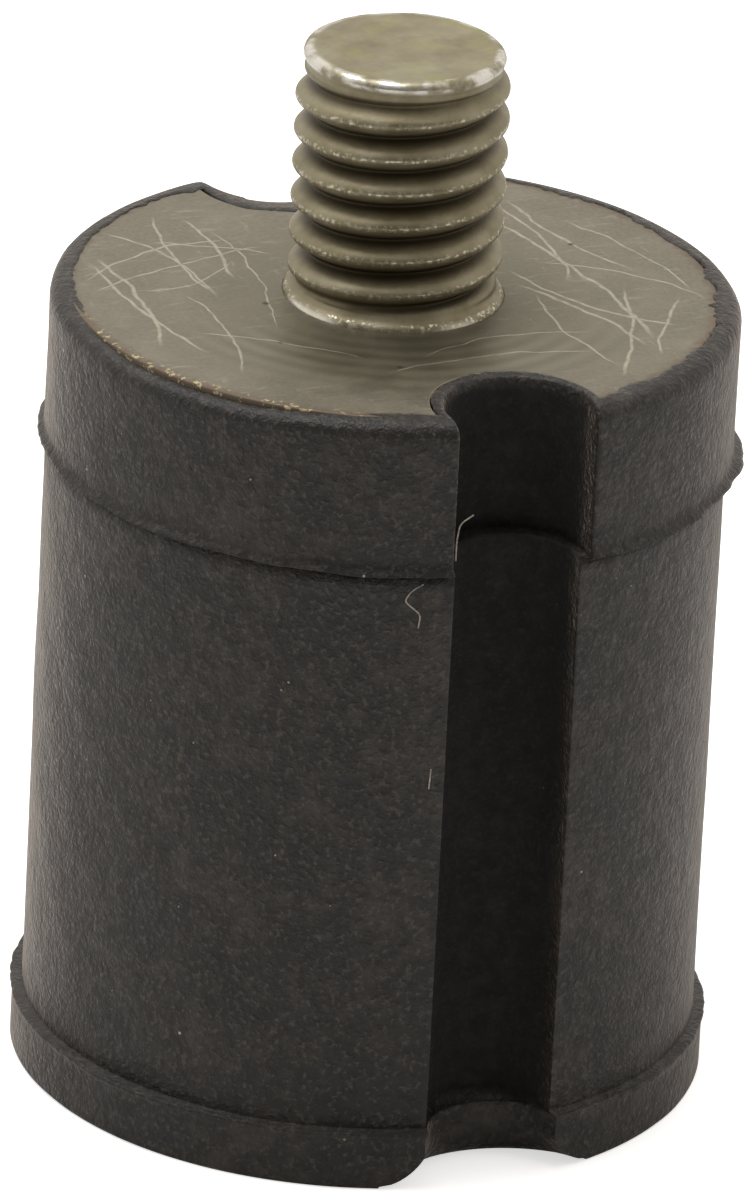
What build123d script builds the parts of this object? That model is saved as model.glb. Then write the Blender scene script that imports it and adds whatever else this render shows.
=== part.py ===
"""Bobbin vibration mount: a rubber column bonded to a steel plate at each end.

The upper plate carries an M6 stud and the lower plate an M6 threaded bush. The rubber is one
moulding: it runs between the plates, wraps their rims and keeps two half-round grooves, left by
the ribs of the mould, down the whole height at -Y and +Y. Frame: +Z along the stud, z = 0 on the
lower face. Millimetres.
"""

import os

from build123d import *

# Rubber moulding: each flange is a rim of rubber round its plate
body_height = 22.8
column_radius = 9.41
upper_rim_width = 0.63
upper_flange_height = 4.42
upper_flange_shift = 0.08
lower_rim_width = 0.78
lower_flange_height = 1.7
upper_edge_radius = 0.45
lower_edge_chamfer = 0.15

# Grooves: each is a half round whose floor lies this far from the axis
column_groove_radius = 1.86
column_groove_floor = 7.25
upper_notch_radius = 2.03
upper_notch_floor = 6.5
lower_notch_radius = 2.05
lower_notch_floor = 8.0

# Flared foot of each groove: a cone of this radius on the lower face, narrower above it
scoop_radius = 3.9
scoop_tip_radius = 2.75
scoop_floor = 7.55
scoop_height = 0.9

# Steel plates, flush with the rubber at their outer faces
plate_thickness = 1.5
upper_plate_radius = 8.9
lower_plate_radius = 8.9
plate_edge_chamfer = 0.15
upper_notch_side_skin = 0.32
upper_notch_floor_skin = 0.45
lower_notch_skin = 0.3

# Stud, pressed through the upper plate from below and swaged over on top
thread_diameter = 6.0
thread_pitch = 1.0
thread_crest_allowance = 0.08
stud_length = 7.2
stud_tip_chamfer = 0.35
stud_neck_diameter = 6.6
stud_head_diameter = 10.0
stud_head_thickness = 2.0
stud_head_chamfer = 0.4
swage_inset = 0.05
swage_height = 0.2
swage_chamfer = 0.1

# Threaded bush, pressed through the lower plate from above
bush_diameter = 9.0
bush_neck_diameter = 8.0
bush_height = 9.0
bush_edge_chamfer = 0.5
bush_thread_depth = 7.0
bush_mouth_chamfer = 0.5

# How far a cutting tool runs past the face it cuts
overrun = 1.0

# Sizes worked out from the ones above
upper_flange_radius = upper_plate_radius + upper_rim_width
upper_flange_base = body_height - upper_flange_height
upper_plate_underside = body_height - plate_thickness
lower_flange_radius = lower_plate_radius + lower_rim_width
thread_crest_diameter = thread_diameter - thread_crest_allowance
thread_minor_diameter = thread_diameter - thread_pitch


def rod(radius, bottom, top, x=0.0, y=0.0):
    """Upright solid cylinder between two heights."""
    return Pos(x, y, bottom) * extrude(Circle(radius), amount=top - bottom)


def half_round_groove(radius, floor, bottom, top):
    """Cutter for one groove at -Y: a rod at its floor, opened straight out to the rim."""
    centre = floor + radius
    reach = lower_flange_radius + overrun
    opening = Pos(0, -centre - reach / 2) * Rectangle(2 * radius, reach)
    section = Pos(0, -centre) * Circle(radius) + opening
    return Pos(0, 0, bottom) * extrude(section, amount=top - bottom)


def both_sides(cutter):
    """The cutter at -Y and its copy at +Y."""
    return [cutter, Rot(0, 0, 180) * cutter]


def rubber_blank():
    """Column and its two flanges, with their outer edges eased, before anything is cut."""
    column = rod(column_radius, lower_flange_height, upper_flange_base)
    lower = rod(lower_flange_radius, 0, lower_flange_height)
    lower = chamfer(lower.edges().group_by(Axis.Z)[0], lower_edge_chamfer)
    upper = rod(upper_flange_radius, upper_flange_base, body_height, x=upper_flange_shift)
    upper = fillet(upper.edges().group_by(Axis.Z)[-1], upper_edge_radius)
    return column + lower + upper


def scoop():
    """Cutter for the flared foot of one groove: a cone that narrows upwards."""
    centre = scoop_floor + scoop_radius
    slope = (scoop_radius - scoop_tip_radius) / scoop_height
    cone = Cone(
        scoop_radius + slope * overrun,
        scoop_tip_radius,
        scoop_height + overrun,
        align=(Align.CENTER, Align.CENTER, Align.MIN),
    )
    return Pos(0, -centre, -overrun) * cone


def rubber_grooves():
    """All cutters for the two grooves: column, upper notch, lower notch and flared foot."""
    column = half_round_groove(
        column_groove_radius, column_groove_floor, lower_flange_height, upper_flange_base
    )
    upper = half_round_groove(
        upper_notch_radius, upper_notch_floor, upper_flange_base, body_height + overrun
    )
    lower = half_round_groove(
        lower_notch_radius, lower_notch_floor, -overrun, lower_flange_height
    )
    cutters = []
    for cutter in (column, upper, lower, scoop()):
        cutters += both_sides(cutter)
    return cutters


def upper_plate_blank():
    """Round steel disc, notched where the grooves pass, with its inner rim eased."""
    disc = rod(upper_plate_radius, upper_plate_underside, body_height)
    disc = chamfer(disc.edges().group_by(Axis.Z)[0], plate_edge_chamfer)
    notch = half_round_groove(
        upper_notch_radius + upper_notch_side_skin,
        upper_notch_floor - upper_notch_floor_skin,
        upper_plate_underside - overrun,
        body_height + overrun,
    )
    return disc - both_sides(notch)


def lower_plate_blank():
    """Round steel disc with wider, shallower notches that clear the flared foot."""
    disc = rod(lower_plate_radius, 0, plate_thickness)
    disc = chamfer(disc.edges().group_by(Axis.Z)[-1], plate_edge_chamfer)
    centre = scoop_floor + scoop_radius
    notch = rod(scoop_radius + lower_notch_skin, -overrun, plate_thickness + overrun, y=-centre)
    return disc - both_sides(notch)


def make_stud():
    """M6 stud: head in the rubber, neck in the plate, swaged ring and shank above it."""
    neck_radius = stud_neck_diameter / 2
    head = rod(
        stud_head_diameter / 2, upper_plate_underside - stud_head_thickness, upper_plate_underside
    )
    head = chamfer(head.edges().group_by(Axis.Z)[0], stud_head_chamfer)
    neck = rod(neck_radius, upper_plate_underside, body_height)
    ring = rod(neck_radius - swage_inset, body_height, body_height + swage_height)
    ring = chamfer(ring.edges().group_by(Axis.Z)[-1], swage_chamfer)
    shank = rod(thread_crest_diameter / 2, body_height, body_height + stud_length)
    shank = chamfer(shank.edges().group_by(Axis.Z)[-1], stud_tip_chamfer)
    return head + neck + ring + shank


def make_upper_plate():
    """Upper disc with its hole, filled by the stud's neck."""
    hole = rod(stud_neck_diameter / 2, upper_plate_underside - overrun, body_height + overrun)
    return upper_plate_blank() - hole


def bush_blank():
    """Outer form of the bush: neck in the plate, round body above it in the rubber."""
    neck = rod(bush_neck_diameter / 2, 0, plate_thickness)
    body = rod(bush_diameter / 2, plate_thickness, bush_height)
    body = chamfer(body.edges().group_by(Axis.Z)[-1], bush_edge_chamfer)
    return neck + body


def make_bush():
    """Bush with its blind tapped hole, bored to the thread's minor diameter."""
    minor_radius = thread_minor_diameter / 2
    hole = rod(minor_radius, -overrun, bush_thread_depth)
    mouth = Cone(
        minor_radius + bush_mouth_chamfer + overrun,
        minor_radius,
        bush_mouth_chamfer + overrun,
        align=(Align.CENTER, Align.CENTER, Align.MIN),
    )
    return bush_blank() - [hole, Pos(0, 0, -overrun) * mouth]


def make_lower_plate():
    """Lower disc with its hole, filled by the bush's neck."""
    hole = rod(bush_neck_diameter / 2, -overrun, plate_thickness + overrun)
    return lower_plate_blank() - hole


def make_rubber():
    """The moulding: the blank less its grooves and everything that it is bonded round."""
    steel = [make_upper_plate(), make_lower_plate(), make_stud(), bush_blank()]
    return rubber_blank() - rubber_grooves() - steel


os.makedirs("parts", exist_ok=True)
export_step(make_rubber(), "parts/rubber_body.step")
export_step(make_upper_plate(), "parts/upper_plate.step")
export_step(make_lower_plate(), "parts/lower_plate.step")
export_step(make_stud(), "parts/stud.step")
export_step(make_bush(), "parts/threaded_bush.step")
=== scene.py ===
import math

import bpy
import numpy as np
from mathutils import Matrix, Vector


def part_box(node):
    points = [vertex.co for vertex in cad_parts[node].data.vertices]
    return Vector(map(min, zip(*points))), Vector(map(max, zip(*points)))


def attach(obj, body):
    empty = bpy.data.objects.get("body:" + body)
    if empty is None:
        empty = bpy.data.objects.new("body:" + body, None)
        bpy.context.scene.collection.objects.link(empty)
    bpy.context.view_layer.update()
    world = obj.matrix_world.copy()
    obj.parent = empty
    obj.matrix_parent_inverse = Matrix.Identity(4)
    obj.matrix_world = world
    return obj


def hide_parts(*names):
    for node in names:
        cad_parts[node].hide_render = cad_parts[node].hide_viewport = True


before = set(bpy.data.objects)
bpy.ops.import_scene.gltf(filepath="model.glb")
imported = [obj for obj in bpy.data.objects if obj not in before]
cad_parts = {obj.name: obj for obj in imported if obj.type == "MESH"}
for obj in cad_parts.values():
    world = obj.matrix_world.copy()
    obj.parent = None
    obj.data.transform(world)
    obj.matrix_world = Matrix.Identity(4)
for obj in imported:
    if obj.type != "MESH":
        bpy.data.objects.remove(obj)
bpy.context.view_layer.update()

# ---------------------------------------------------------------------------------------------
# Camera: a long lens, 25 degrees above the table, with the front groove right of centre. It
# leans by 3 degrees, and aims a little above the middle of the rubber column.
# ---------------------------------------------------------------------------------------------
MM = 0.001
CAMERA_DISTANCE = 465.35 * MM
CAMERA_ELEVATION = math.radians(25.093)
CAMERA_AZIMUTH = math.radians(24.2)
CAMERA_ROLL = math.radians(2.952)
AIM_RIGHT = 0.604 * MM
AIM_UP = 12.355 * MM

outward = Vector((-math.sin(CAMERA_AZIMUTH), -math.cos(CAMERA_AZIMUTH), 0))
eye = CAMERA_DISTANCE * (
    math.cos(CAMERA_ELEVATION) * outward + math.sin(CAMERA_ELEVATION) * Vector((0, 0, 1))
)
level = Vector((math.cos(CAMERA_AZIMUTH), -math.sin(CAMERA_AZIMUTH), 0))
upright = level.cross(-eye.normalized())
right = math.cos(CAMERA_ROLL) * level + math.sin(CAMERA_ROLL) * upright
up = math.cos(CAMERA_ROLL) * upright - math.sin(CAMERA_ROLL) * level
look = (AIM_RIGHT * right + AIM_UP * up - eye).normalized()
right = (right - right.dot(look) * look).normalized()
up = right.cross(look)

camera = bpy.data.objects.new("camera", bpy.data.cameras.new("camera"))
camera.data.lens = 497.22
camera.data.sensor_width = 36.0
camera.data.clip_start = 0.05
camera.data.clip_end = 20.0
camera.matrix_world = Matrix.Translation(eye) @ Matrix((right, up, -look)).transposed().to_4x4()
bpy.context.scene.collection.objects.link(camera)
bpy.context.scene.camera = camera


# ---------------------------------------------------------------------------------------------
# Rubber body: one moulding of black natural rubber, bonded round both plates in a mould of two
# halves that don't quite match. The halves leave steps, a thin lip of flash at each step and two
# ribbed grooves, whose halves differ in width and depth.
# ---------------------------------------------------------------------------------------------
BODY_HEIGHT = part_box("rubber_body")[1].z / MM
COLUMN_RADIUS = 9.41
UPPER_RADIUS = 9.53
UPPER_BASE = 18.38
UPPER_SHIFT = (0.085, -0.038)
LOWER_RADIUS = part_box("rubber_body")[1].x / MM - 0.01
LOWER_TOP = 1.7
TOP_EDGE = 0.45
# Each groove is a half round: its radius, and how far its floor lies from the axis
NOTCH, NOTCH_FLOOR, REAR_NOTCH_FLOOR = 2.03, 6.46, 6.75
GROOVE, GROOVE_FLOOR, GROOVE_FLOOR_DRIFT = 1.86, 7.05, 0.33
LOW_NOTCH, LOW_NOTCH_FLOOR = 2.05, 8.03
FLARE_TOP, FLARE_BASE, FLARE_WIDTH, FLARE_DEPTH = 0.95, 0.08, 1.85, 0.48
CREVICE_DEPTH = 0.3
PLATE_THICKNESS = 1.5
PLATE_RADIUS = 8.9
# Radius and height of the hidden rounds that seat the stud's head and the bush
HEAD_SEAT = [(4.6, 19.3), (5.0, 19.7), (5.0, 21.3)]
BUSH_SEAT = [(4.5, PLATE_THICKNESS), (4.5, 8.5), (4.0, 9.0)]
FLOOR_STEPS = 20
WALL_STEPS = 6
RIM_STEPS = 74
# Counts of rings, from the top: the plate's seat, those with sharp corners, those of the lip
SEAT_RINGS, SHARP_RINGS, LIP_RINGS, FACE_RINGS = 2, 4, 7, 3


def quarter_outline(outer, groove, floor):
    """Quarter of the body's section, as points across and outward from the groove's middle.

    The groove is an arc of radius groove whose floor lies floor from the axis. Where the arc
    reaches its full width inside the rim, a straight wall follows. Then comes the rim, an arc
    of radius outer, to the quarter's end. All three sizes are columns, one row per height."""
    outer, groove, floor = (np.asarray(v, float)[:, None] for v in (outer, groove, floor))
    centre = floor + groove
    wall_out = np.sqrt(np.maximum(outer**2 - groove**2, 0))
    meet_out = (outer**2 + centre**2 - groove**2) / (2 * centre)
    shallow = centre > wall_out
    turn = np.where(shallow, np.arccos(np.clip((centre - meet_out) / groove, -1, 1)), np.pi / 2)
    arc = turn * np.linspace(0, 1, FLOOR_STEPS)[None, :]
    across = [groove * np.sin(arc)]
    out = [centre - groove * np.cos(arc)]
    end_across, end_out = across[0][:, -1:], out[0][:, -1:]
    rim_out = np.where(shallow, end_out, wall_out)
    along = np.linspace(0, 1, WALL_STEPS + 1)[None, 1:]
    across.append(end_across + 0 * along)
    out.append(end_out + (rim_out - end_out) * along)
    start = np.arcsin(np.clip(end_across / outer, -1, 1))
    along = np.linspace(0, 1, RIM_STEPS + 1)[None, 1:] ** 1.35
    angle = start + (np.pi / 2 - start) * along
    across.append(outer * np.sin(angle))
    out.append(outer * np.cos(angle))
    return np.hstack(across), np.hstack(out)


def closed_outline(outer, groove, floor, rear_floor=None):
    """The four quarters joined into one closed section, from the front groove by +X."""
    rear = floor if rear_floor is None else rear_floor
    front_across, front_out = quarter_outline(outer, groove, floor)
    rear_across, rear_out = quarter_outline(outer, groove, rear)
    x = np.hstack([
        front_across, rear_across[:, -2::-1], -rear_across[:, 1:], -front_across[:, -2:0:-1]
    ])
    y = np.hstack([
        -front_out, rear_out[:, -2::-1], rear_out[:, 1:], -front_out[:, -2:0:-1]
    ])
    return x, y


def soften(x, y, times):
    """Rounds the corners of closed sections: each point moves to the mean of its neighbours."""
    for _ in range(times):
        x = 0.25 * np.roll(x, 1, 1) + 0.5 * x + 0.25 * np.roll(x, -1, 1)
        y = 0.25 * np.roll(y, 1, 1) + 0.5 * y + 0.25 * np.roll(y, -1, 1)
    return x, y


def ripple(angle, seed, lowest, highest, roll_off=0.6):
    """Wavy value round the axis, about -1 to 1: a sum of cosines with seeded phases."""
    draw = np.random.default_rng(seed)
    total = np.zeros_like(angle)
    power = 0.0
    for waves in range(lowest, highest + 1):
        size = (lowest / waves) ** roll_off * draw.uniform(0.4, 1.0)
        total += size * np.cos(waves * angle + draw.uniform(0, 2 * np.pi))
        power += 0.5 * size**2
    return total / (1.9 * math.sqrt(power))


def bump_at(angle, where, width):
    """Bell curve round the axis: 1 at the angle where, in degrees, and 0 beyond its width."""
    away = (angle - math.radians(where) + np.pi) % (2 * np.pi) - np.pi
    return np.exp(-((away / math.radians(width)) ** 2))


def grid_mesh(name, x, y, z, poles):
    """Closed mesh from rings of points, each closed by a fan at its pole, both in mm."""
    rings, count = x.shape
    points = np.stack([x, y, z], -1).reshape(-1, 3)
    points = np.vstack([points, poles]) * MM
    row = np.arange(rings - 1)[:, None] * count
    here = np.arange(count)[None, :]
    after = (here + 1) % count
    quads = np.stack(
        [row + here, row + count + here, row + count + after, row + after], -1
    ).reshape(-1, 4)
    first, last = rings * count, rings * count + 1
    here, after = here[0], after[0]
    base = (rings - 1) * count
    top = np.stack([here, after, np.full(count, first)], -1)
    bottom = np.stack([base + after, base + here, np.full(count, last)], -1)
    mesh = bpy.data.meshes.new(name)
    mesh.from_pydata(points.tolist(), [], quads.tolist() + top.tolist() + bottom.tolist())
    mesh.polygons.foreach_set("use_smooth", np.ones(len(mesh.polygons), bool))
    mesh.update()
    return mesh


def place(name, mesh, material):
    """Puts a finished mesh into the scene as a piece that rides on the mount's one body."""
    piece = bpy.data.objects.new(name, mesh)
    bpy.context.scene.collection.objects.link(piece)
    mesh.materials.append(material)
    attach(piece, "root")
    return piece


def rubber_rings():
    """Rings of the moulding, from the upper plate's seat over the lip and down to the lower face.

    Beyond its outline, each says how much it shares in the lip, the flash or a crevice."""
    rings = []
    plain = {
        "rear": None, "sharp": False, "shift": 0.0, "lip": 0.0, "flash": 0.0, "low_flash": 0.0,
        "crevice": 0.0,
    }

    def ring(outer, groove, floor, z, **traits):
        size = {"outer": outer, "groove": groove, "floor": floor, "z": z}
        rings.append({**plain, **size, **traits})

    top = BODY_HEIGHT
    # the plate's seat, then the lip that laps over its edge
    ring(8.9, 2.30, 6.10, top - PLATE_THICKNESS, shift=1)
    ring(8.9, 2.30, 6.10, top - 0.10, shift=1)
    ring(8.89, 2.36, 6.04, top - 0.012, shift=1, lip=1)
    ring(8.93, 2.31, 6.09, top + 0.022, shift=1, lip=1)
    ring(8.98, 2.25, 6.16, top + 0.034, shift=1, lip=0.6)
    ring(9.03, 2.18, 6.25, top + 0.020, shift=1, lip=0.2)
    for turn in np.radians([4, 18, 32, 46, 60, 74, 88]):
        inset = TOP_EDGE * (1 - math.sin(turn))
        drop = TOP_EDGE * (1 - math.cos(turn))
        floor = NOTCH_FLOOR - 0.18 * inset / TOP_EDGE
        ring(
            UPPER_RADIUS - inset, NOTCH + 0.15 * inset, floor, top - drop, shift=1,
            rear=REAR_NOTCH_FLOOR,
        )
    for z in np.linspace(top - TOP_EDGE - 0.3, UPPER_BASE + 0.28, 22):
        ring(UPPER_RADIUS, NOTCH, NOTCH_FLOOR, z, shift=1, rear=REAR_NOTCH_FLOOR)
    # flash on the upper flange's lower edge, then the step in to the column
    for out, narrower, rise, share in (
        (0.02, 0.0, 0.17, 0.25), (0.07, 0.01, 0.09, 0.7), (0.08, 0.02, 0.02, 1.0)
    ):
        ring(
            UPPER_RADIUS + out, NOTCH - narrower, NOTCH_FLOOR, UPPER_BASE + rise, shift=1,
            flash=share, rear=REAR_NOTCH_FLOOR,
        )
    ring(
        UPPER_RADIUS + 0.02, 2.00, 6.47, UPPER_BASE - 0.02, shift=1, flash=0.7,
        rear=REAR_NOTCH_FLOOR,
    )
    ring(COLUMN_RADIUS - 0.02, 1.90, 6.66, UPPER_BASE, shift=0.5, crevice=1, rear=6.9)
    ring(COLUMN_RADIUS - 0.16, GROOVE, 7.02, UPPER_BASE + 0.03, sharp=True)
    ring(COLUMN_RADIUS - 0.14, GROOVE, 7.06, UPPER_BASE - 0.07, sharp=True)
    for z in np.linspace(UPPER_BASE - 0.2, LOWER_TOP + 0.2, 58):
        share = (UPPER_BASE - z) / (UPPER_BASE - LOWER_TOP)
        floor = GROOVE_FLOOR + GROOVE_FLOOR_DRIFT * share
        ring(COLUMN_RADIUS, GROOVE, floor, z, sharp=True)
    # the step out to the lower flange, whose notch is shallower than the groove
    ring(COLUMN_RADIUS - 0.02, GROOVE, 7.40, LOWER_TOP + 0.05, sharp=True)
    ring(COLUMN_RADIUS, 1.88, 7.60, LOWER_TOP, sharp=True, crevice=1)
    ring(LOWER_RADIUS - 0.02, 1.95, 7.94, LOWER_TOP + 0.01, low_flash=1)
    ring(LOWER_RADIUS + 0.03, 2.00, 7.99, LOWER_TOP - 0.03, low_flash=1)
    ring(LOWER_RADIUS + 0.02, 2.03, LOW_NOTCH_FLOOR, LOWER_TOP - 0.10, low_flash=1)
    for z in (LOWER_TOP - 0.2, 1.3, 1.1):
        ring(LOWER_RADIUS, LOW_NOTCH, LOW_NOTCH_FLOOR, z)
    # the flared foot: a quarter round that opens the notch towards the lower face
    for share in np.linspace(0, 1, 14):
        flare = 1 - math.sqrt(1 - share**2)
        width = FLARE_WIDTH * (0.35 * share + 0.65 * flare)
        z = FLARE_TOP - (FLARE_TOP - FLARE_BASE) * share
        ring(LOWER_RADIUS, LOW_NOTCH + width, LOW_NOTCH_FLOOR - FLARE_DEPTH * flare, z)
    ring(LOWER_RADIUS - 0.08, 3.95, 7.52, 0.0)
    ring(PLATE_RADIUS, 4.2, 7.25, 0.0)
    ring(PLATE_RADIUS, 4.2, 7.25, PLATE_THICKNESS)
    return rings


def rounds_of(sizes, angle):
    """Plain round rings at the given radii and heights, as x, y and z."""
    radius, level = (np.array(v)[:, None] for v in zip(*sizes))
    return radius * np.sin(angle), -radius * np.cos(angle), level + 0 * angle[None, :]


def rubber_mesh():
    """The rings as one closed grid, with flash, worn rim and mould mismatch worked in."""
    rings = rubber_rings()
    for one in rings:
        one["rear"] = one["floor"] if one["rear"] is None else one["rear"]
    size = {name: np.array([one[name] for one in rings], float) for name in rings[0]}
    share = {name: column[:, None] for name, column in size.items()}
    row = np.arange(len(rings))[:, None]
    x, y = closed_outline(size["outer"], size["groove"], size["floor"], size["rear"])
    soft_x, soft_y = soften(x, y, 1)
    softer_x, softer_y = soften(soft_x, soft_y, 2)
    round_x, round_y = soften(softer_x, softer_y, 26)
    sharp = share["sharp"] > 0
    x, y = np.where(sharp, soft_x, softer_x), np.where(sharp, soft_y, softer_y)
    # at the back, the notch's corners are well rounded under the top edge
    rear_top = (share["z"] > UPPER_BASE + 0.5) & (row >= SHARP_RINGS) & (y > 7.4)
    x, y = np.where(rear_top, round_x, x), np.where(rear_top, round_y, y)
    angle = np.arctan2(x, -y)
    reach = np.hypot(x, y)
    height = np.repeat(share["z"], x.shape[1], 1)
    # the lip over the plate is ragged, most of all on the right, and torn back in three places
    right_side = bump_at(angle, 75, 45)
    ragged = 0.07 * ripple(angle, 3, 9, 40, 0.5) + 0.055 * ripple(angle, 4, 60, 150, 0.2)
    ragged = ragged * (0.75 + 1.5 * right_side) - 0.02 - 0.05 * right_side
    ragged -= 0.28 * bump_at(angle, -23, 7) + 0.2 * bump_at(angle, 24, 5)
    ragged -= 0.25 * bump_at(angle, -163, 5)
    # the groove's walls and floor take no flash: only the rim does
    on_rim = np.clip((reach - 8.6) / 0.3, 0, 1)
    flash = 0.5 + 0.5 * ripple(angle, 7, 3, 24, 0.3)
    rough = 0.5 + 0.5 * ripple(angle, 8, 30, 110, 0.1)
    upper_flash = 0.04 + 0.07 * flash + 0.04 * rough
    upper_flash += 0.05 * bump_at(angle, -66, 5) + 0.10 * bump_at(angle, 68, 9)
    upper_flash += 0.10 * bump_at(angle, 60, 4) + 0.08 * bump_at(angle, 38, 3)
    lower_flash = 0.02 + 0.07 * flash * rough + 0.07 * bump_at(angle, -68, 9)
    grow = share["lip"] * ragged
    grow += (share["flash"] * upper_flash + share["low_flash"] * lower_flash) * on_rim
    x = x + grow * x / reach
    y = y + grow * y / reach
    # in the grooves, each step ends in a deep crevice
    in_groove = 1 - np.clip((reach - 7.9) / 0.7, 0, 1)
    height -= CREVICE_DEPTH * share["crevice"] * in_groove
    height += (share["flash"] > 0) * 0.03 * ripple(angle, 11, 5, 30) * on_rim
    height += share["low_flash"] * 0.03 * ripple(angle, 12, 4, 26) * on_rim
    # front left, the rim is worn down and bares the plate's corner
    worn = np.clip(bump_at(angle, -62, 24) * 1.35, 0, 1)
    near_top = np.clip((height - (BODY_HEIGHT - 1.6)) / 1.6, 0, 1)
    near_top *= np.clip((reach - 8.0) / 0.7, 0, 1)
    height -= (row >= SEAT_RINGS) * 0.17 * worn * near_top**2
    x += share["shift"] * UPPER_SHIFT[0]
    y += share["shift"] * UPPER_SHIFT[1]
    # low, wide unevenness of the moulded skin
    swell = 0.018 * ripple(angle, 21, 2, 9) * np.cos(height * 0.55 + 0.8)
    swell += 0.010 * ripple(angle + 0.08 * height, 22, 8, 22)
    swell *= (row >= LIP_RINGS) & (row < len(rings) - FACE_RINGS)
    x += swell * x / reach
    y += swell * y / reach
    turn = np.linspace(0, 2 * np.pi, x.shape[1], endpoint=False)
    parts = rounds_of(HEAD_SEAT, turn), (x, y, height), rounds_of(BUSH_SEAT, turn)
    grid = [np.vstack(level) for level in zip(*parts)]
    return grid_mesh("rubber", *grid, [(0, 0, HEAD_SEAT[0][1]), (0, 0, BUSH_SEAT[-1][1])])


def linear(code, alpha=1.0):
    """An sRGB hex colour as linear red, green, blue and alpha."""
    parts = np.array([int(code[i:i + 2], 16) for i in (0, 2, 4)]) / 255
    parts = np.where(parts <= 0.04045, parts / 12.92, ((parts + 0.055) / 1.055) ** 2.4)
    return (*parts.tolist(), alpha)


SMOOTH = {"interpolation_type": "SMOOTHSTEP"}
COLOURS = {"data_type": "RGBA"}


def add(tree, kind, *inputs, out=None, stops=(), **settings):
    """Adds one shader node and returns one of its outputs, the first in use if none is named.

    Inputs follow the order of the node's sockets in use, or go by name, and each is a value or a
    socket to link from. Other names are settings. Stops are places and colours on a ramp."""
    node = tree.nodes.new("ShaderNode" + kind)
    named = {name: settings.pop(name) for name in list(settings) if name in node.inputs}
    for name, value in settings.items():
        setattr(node, name, value)
    sockets = list(zip([socket for socket in node.inputs if socket.enabled], inputs))
    sockets += [(node.inputs[name], value) for name, value in named.items()]
    for socket, value in sockets:
        if isinstance(value, bpy.types.NodeSocket):
            tree.links.new(value, socket)
        else:
            socket.default_value = value
    for place_on, _ in stops[2:]:
        node.color_ramp.elements.new(place_on)
    for number, (place_on, colour) in enumerate(stops):
        node.color_ramp.elements[number].position = place_on
        node.color_ramp.elements[number].color = linear(colour)
    outputs = {socket.name: socket for socket in node.outputs if socket.enabled}
    return outputs[out] if out else next(iter(outputs.values()), None)


def new_material(name):
    """An empty node material, its tree, its object coordinates in mm and the same on the axis."""
    material = bpy.data.materials.new(name)
    material.use_nodes = True
    tree = material.node_tree
    tree.nodes.clear()
    where = add(tree, "TexCoord", out="Object")
    position = add(tree, "VectorMath", where, (1 / MM,) * 3, operation="MULTIPLY")
    flat = add(tree, "VectorMath", position, (1, 1, 0), operation="MULTIPLY")
    return material, tree, position, flat


def moulded_rubber():
    """Natural rubber with carbon black, pressed in a spark-worn steel mould: a matt, pebbled
    black skin with a faint grey bloom and a few pale dust grains. In the grooves' depths the
    bloom's sheen is weaker and the colour is painted near black as shade."""
    material, tree, position, flat = new_material("moulded_black_rubber")
    # cloudy bloom, then mottling, then the pebbles of the mould's own skin
    bloom = add(tree, "TexNoise", position, 1 / 2.6, 4.0, 0.55)
    mottle = add(tree, "TexNoise", position, 1 / 0.5, 4.0, 0.7)
    pebble = add(tree, "TexNoise", position, 1 / 0.16, 2.0, 0.6)
    part_bloom = add(tree, "Math", bloom, 0.45, operation="MULTIPLY")
    part_mottle = add(tree, "Math", mottle, 0.55, operation="MULTIPLY")
    shade = add(tree, "Math", part_bloom, part_mottle, operation="ADD")
    colour = add(
        tree, "ValToRGB", shade, stops=[(0.32, "0c0a08"), (0.5, "1a1613"), (0.68, "332d28")]
    )
    raised = add(tree, "MapRange", pebble, 0.52, 0.72, 0.0, 0.8, **SMOOTH)
    colour = add(tree, "Mix", raised, colour, linear("453d37"), **COLOURS)
    # one grain of dust in a few of the cells, each 0.85 mm wide
    dust = add(tree, "TexVoronoi", position, 1 / 0.85)
    grain = add(tree, "MapRange", dust, 0.035, 0.065, 1.0, 0.0, **SMOOTH)
    chosen = add(tree, "SeparateColor", dust.node.outputs["Color"])
    chosen = add(tree, "MapRange", chosen, 0.86, 0.9, **SMOOTH)
    grain = add(tree, "Math", grain, chosen, operation="MULTIPLY")
    colour = add(tree, "Mix", grain, colour, linear("a9a196"), **COLOURS)
    # the grooves' depths: painted shade, near black, with a rougher skin and less sheen
    reach = add(tree, "VectorMath", flat, operation="LENGTH")
    height = add(tree, "SeparateXYZ", position, out="Z")
    recess = add(tree, "MapRange", reach, 8.5, 9.2, 1.0, 0.0, **SMOOTH)
    above = add(tree, "MapRange", height, 1.7, 1.9, **SMOOTH)
    below = add(tree, "MapRange", height, 22.4, 22.7, 1.0, 0.0, **SMOOTH)
    recess = add(tree, "Math", recess, above, operation="MULTIPLY")
    recess = add(tree, "Math", recess, below, operation="MULTIPLY")
    painted_groove_shade = add(tree, "Math", recess, 0.72, operation="MULTIPLY")
    colour = add(tree, "Mix", painted_groove_shade, colour, linear("060504"), **COLOURS)
    rough = add(tree, "MapRange", mottle, 0.3, 0.7, 0.56, 0.44, **SMOOTH)
    matter = add(tree, "Math", recess, 0.3, operation="MULTIPLY")
    rough = add(tree, "Math", rough, matter, operation="ADD")
    lost = add(tree, "Math", recess, 0.4, operation="MULTIPLY")
    grey_bloom = add(tree, "Math", 0.5, lost, operation="SUBTRACT")
    coarse = add(tree, "Bump", Height=mottle, Strength=1.0, Distance=0.075 * MM)
    fine = add(tree, "Bump", Height=pebble, Strength=1.0, Distance=0.05 * MM, Normal=coarse)
    skin = add(tree, "BsdfPrincipled", colour, Roughness=rough, IOR=1.5, Normal=fine, **{
        "Specular IOR Level": 0.42, "Sheen Weight": grey_bloom, "Sheen Roughness": 0.26,
        "Sheen Tint": linear("fff0e2"),
    })
    add(tree, "OutputMaterial", skin)
    return material


rubber = place("rubber_moulding", rubber_mesh(), moulded_rubber())
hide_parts("rubber_body")


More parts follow.
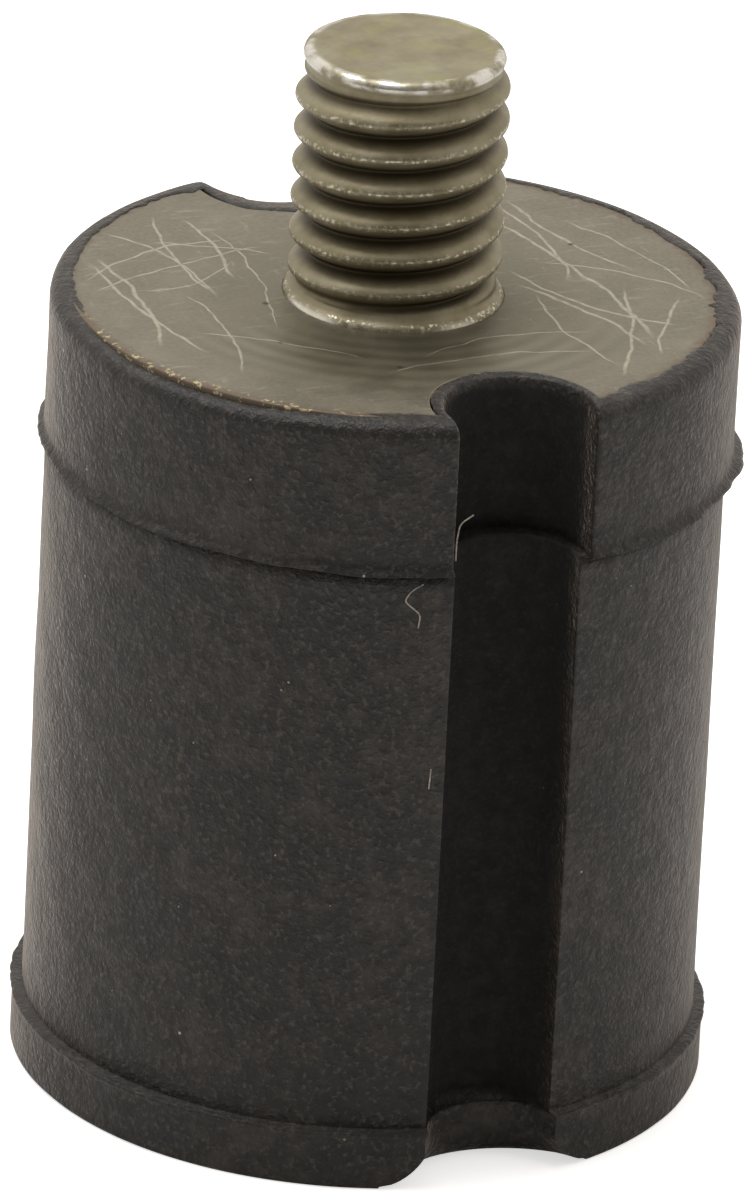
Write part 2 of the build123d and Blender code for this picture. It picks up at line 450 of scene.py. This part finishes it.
# ---------------------------------------------------------------------------------------------
# Dust and lint: pale grains of talc and three short fibres that cling to the moulding, as they
# do on any new rubber part. Each lies partly sunk in the skin.
# ---------------------------------------------------------------------------------------------
# Grains: degrees round the axis from the front groove, then height and size in mm
GRAINS = [
    (-82.7, 15.9, 0.10), (-38.3, 14.9, 0.09), (-79.6, 10.6, 0.10), (-54.9, 12.5, 0.08),
    (19.2, 17.5, 0.07), (22.9, 17.1, 0.07), (-56.3, 7.5, 0.06), (-39.1, 9.7, 0.06),
    (54.8, 10.5, 0.07), (47.6, 13.5, 0.06), (-29.4, 8.4, 0.05), (-64.1, 13.3, 0.06),
    (17.4, 21.1, 0.08), (-46.4, 20.7, 0.06), (-25.0, 1.5, 0.09), (-70.0, 4.2, 0.05),
]
GRAIN_SIDES = 6
# Fibres: for each point the same degrees and height, then its distance from the axis
FIBRES = [
    [(-9.2, 20.2, 9.62), (-11.2, 19.9, 9.50), (-11.6, 19.4, 9.48), (-11.6, 18.8, 9.48)],
    [(-16.7, 18.1, 9.43), (-18.6, 17.9, 9.42), (-19.7, 17.6, 9.42), (-18.3, 17.4, 9.42),
     (-16.9, 17.2, 9.42), (-17.2, 16.8, 9.43)],
    [(-13.8, 12.6, 9.42), (-13.9, 12.3, 9.42), (-14.0, 12.0, 9.42)],
]
FIBRE_RADIUS = 0.021
FIBRE_SIDES = 5
FIBRE_STEPS = 10


def on_skin(angle, z, reach):
    """Points at angles in degrees from the front groove, at heights and reaches in mm."""
    turn = np.radians(angle)
    return np.stack([reach * np.sin(turn), -reach * np.cos(turn), z + 0 * turn], -1)


def grain_of_dust(angle, z, size):
    """Points and faces of one grain: a sunken foot, a smaller round on the skin and a tip."""
    reach = UPPER_RADIUS if z > UPPER_BASE else COLUMN_RADIUS
    reach = LOWER_RADIUS if z < LOWER_TOP else reach
    side = np.linspace(0, 2 * np.pi, GRAIN_SIDES, endpoint=False)
    across, rise = math.degrees(0.5 * size / reach) * np.cos(side), 0.5 * size * np.sin(side)
    foot = on_skin(angle + across, z + rise, reach - 0.04)
    collar = on_skin(angle + 0.8 * across, z + 0.8 * rise, reach + 0.015)
    tips = on_skin(np.full(2, angle), z, np.array([reach + 0.03, reach - 0.05]))
    outer, inner = 2 * GRAIN_SIDES, 2 * GRAIN_SIDES + 1
    faces = []
    for k in range(GRAIN_SIDES):
        after = (k + 1) % GRAIN_SIDES
        faces.append((k, after, GRAIN_SIDES + after, GRAIN_SIDES + k))
        faces.append((GRAIN_SIDES + k, GRAIN_SIDES + after, outer))
        faces.append((after, k, inner))
    return np.vstack([foot, collar, tips]), faces


def fibre(path):
    """Points and faces of one fibre: a round tube along the path, whose bends are smoothed."""
    steps = np.linspace(0, len(path) - 1, FIBRE_STEPS * len(path))
    angle, z, reach = (np.interp(steps, np.arange(len(path)), size) for size in zip(*path))
    for _ in range(16):
        for values in (angle, z, reach):
            values[1:-1] = 0.25 * values[:-2] + 0.5 * values[1:-1] + 0.25 * values[2:]
    line = on_skin(angle, z, reach)
    ahead = np.gradient(line, axis=0)
    ahead /= np.linalg.norm(ahead, axis=1)[:, None]
    out = line * (1, 1, 0)
    out /= np.linalg.norm(out, axis=1)[:, None]
    across = np.cross(ahead, out)
    side = np.linspace(0, 2 * np.pi, FIBRE_SIDES, endpoint=False)[None, :, None]
    spokes = np.cos(side) * out[:, None] + np.sin(side) * across[:, None]
    tube = line[:, None] + FIBRE_RADIUS * spokes
    faces = []
    for k in range(len(line) - 1):
        for j in range(FIBRE_SIDES):
            here, after = FIBRE_SIDES * k + j, FIBRE_SIDES * k + (j + 1) % FIBRE_SIDES
            faces.append((here, after, after + FIBRE_SIDES, here + FIBRE_SIDES))
    faces.append(tuple(reversed(range(FIBRE_SIDES))))
    faces.append(tuple(range(FIBRE_SIDES * (len(line) - 1), FIBRE_SIDES * len(line))))
    return tube.reshape(-1, 3), faces


def lint_mesh():
    """All grains and fibres as one mesh."""
    points, faces = np.zeros((0, 3)), []
    for more, turns in [grain_of_dust(*one) for one in GRAINS] + [fibre(path) for path in FIBRES]:
        faces += [tuple(corner + len(points) for corner in face) for face in turns]
        points = np.vstack([points, more])
    mesh = bpy.data.meshes.new("dust")
    mesh.from_pydata((points * MM).tolist(), [], faces)
    mesh.update()
    return mesh


def pale_dust():
    """Talc and paper lint: a warm, uneven off-white, quite matt."""
    material, tree, position, _ = new_material("pale_dust")
    patch = add(tree, "TexNoise", position, 1 / 0.12, 2.0, 0.55)
    colour = add(tree, "ValToRGB", patch, stops=[(0.3, "776f65"), (0.7, "b5ada0")])
    add(tree, "OutputMaterial", add(tree, "BsdfPrincipled", colour, Roughness=0.9))
    return material


place("dust_and_lint", lint_mesh(), pale_dust())


# ---------------------------------------------------------------------------------------------
# Plates: blanked steel discs with a dull zinc plating, laid in the mould and bonded to the
# rubber. The upper one is scuffed by handling and has a few long pale scratches and rust along
# its bared rim.
# ---------------------------------------------------------------------------------------------
TURNING_FEED = 0.22
# Each scratch runs from one point to another, in mm, bowed to one side, with its width
SCRATCHES = [
    (-7.0, 4.6, -7.6, -1.9, 0.35, 0.10), (-7.3, 4.2, -6.6, -2.6, -0.25, 0.09),
    (-7.9, 3.1, -3.0, 4.8, 0.5, 0.07), (-6.2, 6.2, -4.9, 1.0, 0.6, 0.07),
    (-4.4, 6.9, -4.8, 1.2, -0.3, 0.08), (-8.0, 2.2, -2.2, 4.0, 0.3, 0.06),
    (-3.6, 6.4, -3.9, 2.0, 0.2, 0.09), (-6.9, 2.0, -3.4, 3.3, -0.6, 0.05),
    (-3.2, 5.6, -4.2, -1.6, 0.5, 0.05), (-5.6, 1.4, -6.2, -4.2, 0.4, 0.06),
    (3.4, -0.6, 5.2, -5.6, 0.35, 0.10), (4.3, 4.9, 5.6, -5.2, 0.55, 0.11),
    (5.7, 5.2, 7.0, -0.6, -0.4, 0.08), (3.6, 0.5, 6.6, -4.6, -0.5, 0.09),
    (5.0, 5.4, 5.0, -0.8, 0.5, 0.08), (3.7, -1.4, 3.9, -6.6, -0.35, 0.07),
    (6.2, -1.6, 3.6, -7.4, 0.3, 0.09), (7.4, -2.8, 5.3, -6.3, -0.2, 0.08),
    (6.6, 3.4, 8.0, -2.4, 0.3, 0.06), (4.6, 0.8, 8.1, -3.2, 0.6, 0.06),
    (-2.6, -5.4, 3.6, -5.6, 0.5, 0.05), (-1.2, -4.6, 4.2, -4.3, 0.6, 0.05),
    (-6.4, -1.2, -2.6, -4.4, 0.3, 0.05), (-5.2, 5.0, -2.2, 3.4, 0.2, 0.06),
]


def scratch(tree, position, line):
    """How much one scratch shows at each point: 1 on its line, 0 away from it.

    The distance is measured to a circle through both ends whose bow is the given height, and
    the scratch fades out past half its length from the middle."""
    x0, y0, x1, y1, bow, width = line
    start, end = np.array([x0, y0]), np.array([x1, y1])
    half = np.linalg.norm(end - start) / 2
    along = (end - start) / (2 * half)
    side = np.array([-along[1], along[0]])
    radius = (half**2 + bow**2) / (2 * abs(bow))
    centre = (start + end) / 2 + side * (bow - math.copysign(radius, bow))
    middle = (start + end) / 2 + side * bow
    far = add(tree, "VectorMath", position, (*centre, 0), operation="DISTANCE")
    near = add(tree, "VectorMath", position, (*middle, 0), operation="DISTANCE")
    off = add(tree, "Math", far, radius, operation="SUBTRACT")
    off = add(tree, "Math", off, operation="ABSOLUTE")
    body = add(tree, "MapRange", off, 0.25 * width, 0.75 * width, 1.0, 0.0, **SMOOTH)
    fade = add(tree, "MapRange", near, 0.75 * half, 1.05 * half, 1.0, 0.0, **SMOOTH)
    return add(tree, "Math", body, fade, operation="MULTIPLY")


def dull_zinc():
    """Dull zinc on blanked steel: a grey-olive metal, smoother where it was turned round the
    stud, cloudy and finely scuffed outside it, with pale scratches, dark pits and rust at
    the rim."""
    material, tree, position, flat = new_material("dull_zinc_plated_steel")
    # a slow wobble that bends every scratch a little
    wobble = add(tree, "TexNoise", flat, 1 / 1.6, 2.0, out="Color")
    wobble = add(tree, "VectorMath", wobble, (0.5, 0.5, 0.5), operation="SUBTRACT")
    bent = add(tree, "VectorMath", wobble, (0.5, 0.5, 0), flat, operation="MULTIPLY_ADD")
    marks = [scratch(tree, bent, line) for line in SCRATCHES]
    most = marks[0]
    for mark in marks[1:]:
        most = add(tree, "Math", most, mark, operation="MAXIMUM")
    broken = add(tree, "TexNoise", flat, 1 / 0.35, 3.0, 0.55)
    broken = add(tree, "MapRange", broken, 0.25, 0.6, 0.45, 1.0, **SMOOTH)
    marks = add(tree, "Math", most, broken, operation="MULTIPLY")
    # clouds and specks of the zinc, and the smoother face turned round the stud's front
    cloud = add(tree, "TexNoise", flat, 1 / 1.7, 5.0, 0.6)
    speck = add(tree, "TexNoise", flat, 1 / 0.14, 2.0, 0.6)
    reach = add(tree, "VectorMath", flat, operation="LENGTH")
    colour = add(
        tree, "ValToRGB", cloud, stops=[(0.3, "6c685a"), (0.5, "777264"), (0.7, "847e70")]
    )
    pale = add(tree, "MapRange", speck, 0.3, 0.75, 0.0, 0.4, **SMOOTH)
    colour = add(tree, "Mix", pale, colour, linear("8e887a"), **COLOURS)
    front = add(tree, "VectorMath", flat, (-0.3, -0.95, 0), operation="DOT_PRODUCT")
    front = add(tree, "MapRange", front, 1.5, 4.5, **SMOOTH)
    inner = add(tree, "MapRange", reach, 5.6, 8.2, 1.0, 0.0, **SMOOTH)
    darker = add(tree, "Math", front, inner, operation="MULTIPLY")
    share = add(tree, "Math", darker, 0.8, operation="MULTIPLY")
    colour = add(tree, "Mix", share, colour, linear("67624f"), **COLOURS)
    turned = add(tree, "MapRange", reach, 4.2, 6.2, 1.0, 0.0, **SMOOTH)
    share = add(tree, "Math", turned, 0.35, operation="MULTIPLY")
    colour = add(tree, "Mix", share, colour, linear("68634f"), **COLOURS)
    rings = add(
        tree, "TexWave", flat, 1 / (10 * TURNING_FEED), 0.6, out="Fac", wave_type="RINGS",
        rings_direction="Z",
    )
    share = add(tree, "Math", rings, darker, operation="MULTIPLY")
    share = add(tree, "Math", share, 0.25, operation="MULTIPLY")
    colour = add(tree, "Mix", share, colour, linear("a09a8a"), **COLOURS)
    # hair-fine scuffs that run both ways, everywhere but on the turned face
    scuffs = []
    for stretch, low, high in (((0.35, 2.2, 1), 0.56, 0.7), ((2.0, 0.4, 1), 0.6, 0.72)):
        drawn = add(tree, "VectorMath", bent, stretch, operation="MULTIPLY")
        hair = add(tree, "TexNoise", drawn, 1 / 0.5, 4.0, 0.7)
        scuffs.append(add(tree, "MapRange", hair, low, high, **SMOOTH))
    scuff = add(tree, "Math", *scuffs, operation="MAXIMUM")
    plain = add(tree, "Math", 1.0, darker, operation="SUBTRACT")
    scuff = add(tree, "Math", scuff, plain, operation="MULTIPLY")
    share = add(tree, "Math", scuff, 0.35, operation="MULTIPLY")
    colour = add(tree, "Mix", share, colour, linear("a8a294"), **COLOURS)
    share = add(tree, "Math", marks, 0.62, operation="MULTIPLY")
    colour = add(tree, "Mix", share, colour, linear("bdb7a6"), **COLOURS)
    # a dark pit here and there
    pit = add(tree, "TexVoronoi", flat, 1 / 2.1)
    pit = add(tree, "MapRange", pit, 0.03, 0.07, 1.0, 0.0, **SMOOTH)
    share = add(tree, "Math", pit, 0.8, operation="MULTIPLY")
    colour = add(tree, "Mix", share, colour, linear("3a352c"), **COLOURS)
    # the rim: brown stain that creeps in from the bond, and bare flecks at the front left
    edge = add(tree, "TexNoise", flat, 1 / 0.32, 4.0, 0.65)
    edge = add(tree, "Math", edge, 0.7, operation="MULTIPLY")
    edge = add(tree, "Math", reach, edge, operation="ADD")
    edge = add(tree, "MapRange", edge, 8.95, 9.3, **SMOOTH)
    share = add(tree, "Math", edge, 0.85, operation="MULTIPLY")
    colour = add(tree, "Mix", share, colour, linear("57452f"), **COLOURS)
    fleck = add(tree, "TexNoise", position, 1 / 0.22, 3.0, 0.6)
    fleck = add(tree, "MapRange", fleck, 0.56, 0.63, **SMOOTH)
    outer = add(tree, "MapRange", reach, 8.6, 8.8, **SMOOTH)
    side = add(tree, "VectorMath", flat, (-0.88, -0.47, 0), operation="DOT_PRODUCT")
    side = add(tree, "MapRange", side, 7.0, 8.2, **SMOOTH)
    fleck = add(tree, "Math", fleck, outer, operation="MULTIPLY")
    fleck = add(tree, "Math", fleck, side, operation="MULTIPLY")
    colour = add(tree, "Mix", fleck, colour, linear("b5a67c"), **COLOURS)
    metal = add(tree, "Math", 1.0, edge, operation="SUBTRACT")
    metal = add(tree, "Math", metal, 0.75, operation="MULTIPLY")
    rough = add(tree, "MapRange", cloud, 0.3, 0.7, 0.5, 0.62, **SMOOTH)
    smoother = add(tree, "Math", darker, 0.12, operation="MULTIPLY")
    rough = add(tree, "Math", rough, smoother, operation="SUBTRACT")
    part_marks = add(tree, "Math", marks, 0.5, operation="MULTIPLY")
    part_speck = add(tree, "Math", speck, 0.5, operation="MULTIPLY")
    relief = add(tree, "Math", part_marks, part_speck, operation="ADD")
    bump = add(tree, "Bump", Height=relief, Strength=0.5, Distance=0.02 * MM)
    plating = add(tree, "BsdfPrincipled", colour, metal, rough, Normal=bump)
    add(tree, "OutputMaterial", plating)
    return material


def plate_mesh(name, low, high, outer, notch, floor, hole, edge):
    """Notched disc with a hole, as one closed ring of sections: top, rim, underside, bore.

    Each section is the notched outline, and its edges are eased by a small bevel."""
    insets = [(2.4, high), (1.6, high), (0.8, high), (edge, high), (0.3 * edge, high - 0.3 * edge)]
    insets += [(0, high - edge), (0, low + edge), (edge, low), (0.8, low), (1.6, low), (2.4, low)]
    sizes = [(outer - inset, notch + inset, floor - inset, z) for inset, z in insets]
    x, y = closed_outline(*(np.array(v) for v in list(zip(*sizes))[:3]))
    x, y = soften(x, y, 3)
    z = np.array([s[3] for s in sizes])[:, None] + 0 * x
    count = x.shape[1]
    turn = np.unwrap(np.arctan2(x[0], -y[0]))
    inner = [(hole, low), (hole, high)]
    hole_x = np.vstack([r * np.sin(turn) for r, _ in inner])
    hole_y = np.vstack([-r * np.cos(turn) for r, _ in inner])
    hole_z = np.vstack([np.full(count, level_z) for _, level_z in inner])
    x, y, z = np.vstack([x, hole_x]), np.vstack([y, hole_y]), np.vstack([z, hole_z])
    rings = len(x)
    points = np.stack([x, y, z], -1).reshape(-1, 3) * MM
    row = np.arange(rings)[:, None] * count
    below = ((np.arange(rings) + 1) % rings)[:, None] * count
    here = np.arange(count)[None, :]
    after = (here + 1) % count
    quads = np.stack([row + here, below + here, below + after, row + after], -1).reshape(-1, 4)
    mesh = bpy.data.meshes.new(name)
    mesh.from_pydata(points.tolist(), [], quads.tolist())
    mesh.update()
    return mesh


zinc = dull_zinc()
upper_plate = place(
    "upper_plate_disc",
    plate_mesh("upper_plate_disc", 21.3, BODY_HEIGHT, 9.0, 2.30, 6.10, 3.07, 0.05),
    zinc,
)
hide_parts("upper_plate")


def carried_over(node, material):
    """Gives a CAD node that keeps its own shape a finished material."""
    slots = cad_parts[node].data.materials
    slots.clear()
    slots.append(material)


carried_over("lower_plate", zinc)


# ---------------------------------------------------------------------------------------------
# Stud: an M6 x 1 stud with a rolled thread under thick yellow-passivated zinc, which rounds its
# crests. It is pressed through the upper plate from below and its foot is swaged over, which
# leaves a small ring, painted bright as a highlight at the left and front.
# ---------------------------------------------------------------------------------------------
PITCH = 1.0
CREST_RADIUS = 2.96
ROOT_RADIUS = 2.46
STUD_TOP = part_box("stud")[1].z / MM
END_RADIUS = 2.79
THREAD_PHASE = 28.87
TURN_STEPS = 144


def thread_height(z, angle, phase):
    """Place in the thread's wave: 1 on a crest, 0 in a root, round at the crest.

    The crest climbs by one pitch a turn, right-handed, from the height phase at angle 0."""
    wave = 0.5 + 0.5 * np.cos(2 * np.pi * (z - phase - PITCH * angle / (2 * np.pi)) / PITCH)
    return wave**0.7


def stud_mesh():
    """Shank with its thread, rounded end, swaged foot, neck and buried head, as one skin."""
    angle = np.linspace(0, 2 * np.pi, TURN_STEPS, endpoint=False)[None, :]
    z = np.linspace(STUD_TOP - 0.40, BODY_HEIGHT + 0.36, 190)[:, None]
    radius = ROOT_RADIUS + (CREST_RADIUS - ROOT_RADIUS) * thread_height(z, angle, THREAD_PHASE)
    # the thread dies out into the rounded end above and into the foot below
    fade = np.clip((STUD_TOP - 0.55 - z) / 0.5, 0, 1) ** 0.7
    radius = (END_RADIUS - 0.09) + (radius - END_RADIUS + 0.09) * fade
    foot = np.clip((z - BODY_HEIGHT - 0.30) / 0.35, 0, 1)
    radius = 2.78 + (radius - 2.78) * foot
    end = np.radians([90, 78, 64, 50, 36, 22, 8])
    edge = 0.24
    dish = 0.03
    cap = [(0.35, dish), (1.0, dish), (1.7, 0.8 * dish), (2.2, 0.5 * dish)]
    rows = [(r, STUD_TOP - d) for r, d in cap]
    rows += [
        (END_RADIUS - edge + edge * math.cos(t), STUD_TOP - edge + edge * math.sin(t)) for t in end
    ]
    top_r = np.array([r for r, _ in rows])[:, None] + 0 * angle
    top_z = np.array([level_z for _, level_z in rows])[:, None] + 0 * angle
    hammer = 0.012 * ripple(angle, 31, 3, 12)
    top_z = top_z + hammer * np.clip((top_r - 1.0) / 1.7, 0, 1)
    foot_rows = [
        (2.80, BODY_HEIGHT + 0.32), (2.84, BODY_HEIGHT + 0.24), (2.93, BODY_HEIGHT + 0.18),
        (2.97, BODY_HEIGHT + 0.15), (3.01, BODY_HEIGHT + 0.11), (3.04, BODY_HEIGHT + 0.05),
        (3.06, BODY_HEIGHT - 0.01), (3.08, BODY_HEIGHT - 0.10), (3.295, 22.5), (3.295, 21.3),
        (4.99, 21.3), (4.99, 19.7), (4.6, 19.31),
    ]
    low_r = np.array([r for r, _ in foot_rows])[:, None] + 0 * angle
    low_z = np.array([level_z for _, level_z in foot_rows])[:, None] + 0 * angle
    radius = np.vstack([top_r, radius, low_r])
    height = np.vstack([top_z, z + 0 * angle, low_z])
    x, y = radius * np.sin(angle), -radius * np.cos(angle)
    return grid_mesh("stud", x, y, height, [(0, 0, STUD_TOP - dish), (0, 0, 19.31)])


def yellow_zinc():
    """Thick yellow-passivated zinc on a rolled thread: an olive, slightly waxy metal. The roots
    are painted dark as shade, the crests carry bare zinc specks painted pale as highlights, and
    the end's rim and the foot's ring carry painted highlights."""
    material, tree, position, flat = new_material("yellow_passivated_zinc")
    height = add(tree, "SeparateXYZ", position, out="Z")
    reach = add(tree, "VectorMath", flat, operation="LENGTH")
    cloud = add(tree, "TexNoise", position, 1 / 1.1, 4.0, 0.6)
    speck = add(tree, "TexNoise", position, 1 / 0.12, 2.0, 0.6)
    colour = add(
        tree, "ValToRGB", cloud, stops=[(0.3, "7a7259"), (0.5, "8a826a"), (0.7, "98917b")]
    )
    # painted shade in the roots, then bare zinc specks on the crests painted pale as highlights
    root = add(tree, "MapRange", reach, ROOT_RADIUS, CREST_RADIUS - 0.12, 1.0, 0.0, **SMOOTH)
    on_thread = add(tree, "MapRange", height, STUD_TOP - 0.45, STUD_TOP - 0.6, **SMOOTH)
    root = add(tree, "Math", root, on_thread, operation="MULTIPLY")
    colour = add(tree, "Mix", root, colour, linear("372f1d"), **COLOURS)
    crest = add(tree, "MapRange", reach, CREST_RADIUS - 0.05, CREST_RADIUS - 0.005, **SMOOTH)
    worn = add(tree, "MapRange", speck, 0.5, 0.68, **SMOOTH)
    crest = add(tree, "Math", crest, worn, operation="MULTIPLY")
    share = add(tree, "Math", crest, 0.8, operation="MULTIPLY")
    colour = add(tree, "Mix", share, colour, linear("d9d4c2"), **COLOURS)
    # the end: greenish patches inside a painted highlight round its rim
    on_end = add(tree, "MapRange", height, STUD_TOP - 0.2, STUD_TOP - 0.06, **SMOOTH)
    green = add(tree, "TexNoise", position, 1 / 0.9, 3.0, 0.5)
    green = add(tree, "MapRange", green, 0.5, 0.68, **SMOOTH)
    green = add(tree, "Math", on_end, green, operation="MULTIPLY")
    share = add(tree, "Math", green, 0.4, operation="MULTIPLY")
    colour = add(tree, "Mix", share, colour, linear("95935c"), **COLOURS)
    rim = add(tree, "MapRange", reach, 2.42, 2.6, **SMOOTH)
    on_rim = add(tree, "MapRange", height, STUD_TOP - 0.36, STUD_TOP - 0.2, **SMOOTH)
    rim_highlight_patches = add(tree, "TexNoise", position, 1 / 0.8, 3.0, 0.6)
    rim_highlight_patches = add(tree, "MapRange", rim_highlight_patches, 0.35, 0.6, **SMOOTH)
    rim = add(tree, "Math", rim, on_rim, operation="MULTIPLY")
    rim = add(tree, "Math", rim, rim_highlight_patches, operation="MULTIPLY")
    colour = add(tree, "Mix", rim, colour, linear("d6d3cb"), **COLOURS)
    # the swaged ring at the foot, with a painted highlight at the left and a weaker one at the
    # front
    ring = add(tree, "MapRange", reach, 2.95, 3.05, **SMOOTH)
    on_foot = add(tree, "MapRange", height, BODY_HEIGHT + 0.3, BODY_HEIGHT + 0.2, **SMOOTH)
    left = add(tree, "VectorMath", flat, (-0.96, -0.28, 0), operation="DOT_PRODUCT")
    left = add(tree, "MapRange", left, 2.75, 3.0, **SMOOTH)
    front = add(tree, "VectorMath", flat, (0.2, -0.98, 0), operation="DOT_PRODUCT")
    front = add(tree, "MapRange", front, 2.9, 3.08, 0.0, 0.6, **SMOOTH)
    highlight_sides = add(tree, "Math", left, front, operation="MAXIMUM")
    ring = add(tree, "Math", ring, on_foot, operation="MULTIPLY")
    ring = add(tree, "Math", ring, highlight_sides, operation="MULTIPLY")
    share = add(tree, "Math", ring, 0.9, operation="MULTIPLY")
    colour = add(tree, "Mix", share, colour, linear("dcd8cc"), **COLOURS)
    bright = add(tree, "Math", rim, crest, operation="MAXIMUM")
    bright = add(tree, "Math", bright, ring, operation="MAXIMUM")
    rough = add(tree, "MapRange", bright, 0.0, 1.0, 0.46, 0.2, **SMOOTH)
    bump = add(tree, "Bump", Height=speck, Strength=0.4, Distance=0.02 * MM)
    soft = add(tree, "Bump", Height=cloud, Strength=0.3, Distance=0.05 * MM, Normal=bump)
    plating = add(tree, "BsdfPrincipled", colour, 0.7, rough, Normal=soft)
    add(tree, "OutputMaterial", plating)
    return material


yellow = yellow_zinc()
stud = place("threaded_stud", stud_mesh(), yellow)
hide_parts("stud")


# ---------------------------------------------------------------------------------------------
# Threaded bush: a turned steel bush in the lower plate, with a blind M6 x 1 thread that opens
# on the lower face through a small chamfer.
# ---------------------------------------------------------------------------------------------
BUSH_RADIUS = 4.49
BUSH_NECK = 3.99
BUSH_TOP = 8.99
BORE_DEPTH = 7.0


def bush_mesh():
    """One skin: up the outside, over the closed top, and the tapped bore from its blind end."""
    angle = np.linspace(0, 2 * np.pi, TURN_STEPS, endpoint=False)[None, :]
    z = np.linspace(0.5, BORE_DEPTH - 0.6, 130)[:, None]
    wave = thread_height(z, angle, 0.3)
    bore = 2.52 + 0.42 * (1 - wave) * np.clip((BORE_DEPTH - 0.7 - z) / 0.6, 0, 1)
    outside = [
        (3.98, BUSH_TOP), (BUSH_RADIUS, BUSH_TOP - 0.5), (BUSH_RADIUS, PLATE_THICKNESS + 0.01),
        (BUSH_NECK, PLATE_THICKNESS + 0.01), (BUSH_NECK, 0.0), (3.05, 0.0), (2.98, 0.06),
    ]
    blind = [(2.5, BORE_DEPTH - 0.5), (2.5, BORE_DEPTH)]

    def plain(rows):
        return (
            np.array([r for r, _ in rows])[:, None] + 0 * angle,
            np.array([level_z for _, level_z in rows])[:, None] + 0 * angle,
        )

    out_r, out_z = plain(outside)
    in_r, in_z = plain(blind)
    radius = np.vstack([out_r, bore, in_r])
    height = np.vstack([out_z, z + 0 * angle, in_z])
    x, y = radius * np.sin(angle), -radius * np.cos(angle)
    return grid_mesh("bush", x, y, height, [(0, 0, BUSH_TOP), (0, 0, BORE_DEPTH)])


bush = place("tapped_bush", bush_mesh(), yellow)
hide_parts("threaded_bush")


# ---------------------------------------------------------------------------------------------
# Table and light: a white card inside a light tent. The tent is the world, white all round but
# for a darker sector at the front, and one broad soft lamp hangs overhead.
# ---------------------------------------------------------------------------------------------
TABLE_HALF = 1.5


def seen_directly(tree):
    """1 for rays from the camera, also through glass, and 0 for light on the object."""
    path = add(tree, "LightPath").node.outputs
    seen = path["Is Camera Ray"], path["Is Transmission Ray"]
    return add(tree, "Math", *seen, operation="MAXIMUM")


def tent_world():
    """White to the camera, and to the object a tent that is darker towards the front."""
    world = bpy.data.worlds.new("light_tent")
    world.use_nodes = True
    tree = world.node_tree
    tree.nodes.clear()
    where = add(tree, "TexCoord", out="Generated")
    toward = add(tree, "VectorMath", where, tuple(outward), operation="DOT_PRODUCT")
    strength = add(tree, "MapRange", toward, 0.15, 0.85, 1.0, 0.1, **SMOOTH)
    tent = add(tree, "Background", linear("fffaf3"), strength)
    backdrop = add(tree, "Background", (1, 1, 1, 1), 1.0)
    add(tree, "OutputWorld", add(tree, "MixShader", seen_directly(tree), tent, backdrop))
    return world


def table_surface():
    """Matt white card that shows white to the camera and keeps the object's shadow."""
    material, tree, _, _ = new_material("white_card")
    glow = add(tree, "Math", seen_directly(tree), 0.62, operation="MULTIPLY")
    card = add(tree, "BsdfPrincipled", (0.86, 0.86, 0.86, 1), Roughness=0.9, **{
        "Specular IOR Level": 0.0, "Emission Color": (1, 1, 1, 1), "Emission Strength": glow,
    })
    add(tree, "OutputMaterial", card)
    return material


def lamp(name, place_mm, size_mm, power):
    """Square soft box that faces the middle of the mount."""
    data = bpy.data.lights.new(name, "AREA")
    data.size = size_mm * MM
    data.energy = power
    body = bpy.data.objects.new(name, data)
    spot = Vector(place_mm) * MM
    body.location = spot
    body.rotation_euler = (Vector((0, 0, 12 * MM)) - spot).to_track_quat("-Z", "Y").to_euler()
    bpy.context.scene.collection.objects.link(body)


bpy.context.scene.world = tent_world()
table_mesh = bpy.data.meshes.new("table")
corners = [(-1, -1), (1, -1), (1, 1), (-1, 1)]
table_mesh.from_pydata([(TABLE_HALF * x, TABLE_HALF * y, 0) for x, y in corners], [], [range(4)])
table_mesh.materials.append(table_surface())
table = bpy.data.objects.new("table", table_mesh)
bpy.context.scene.collection.objects.link(table)
lamp("overhead", (-40, 60, 260), 160, 0.35)

bpy.context.scene.view_settings.view_transform = "Standard"
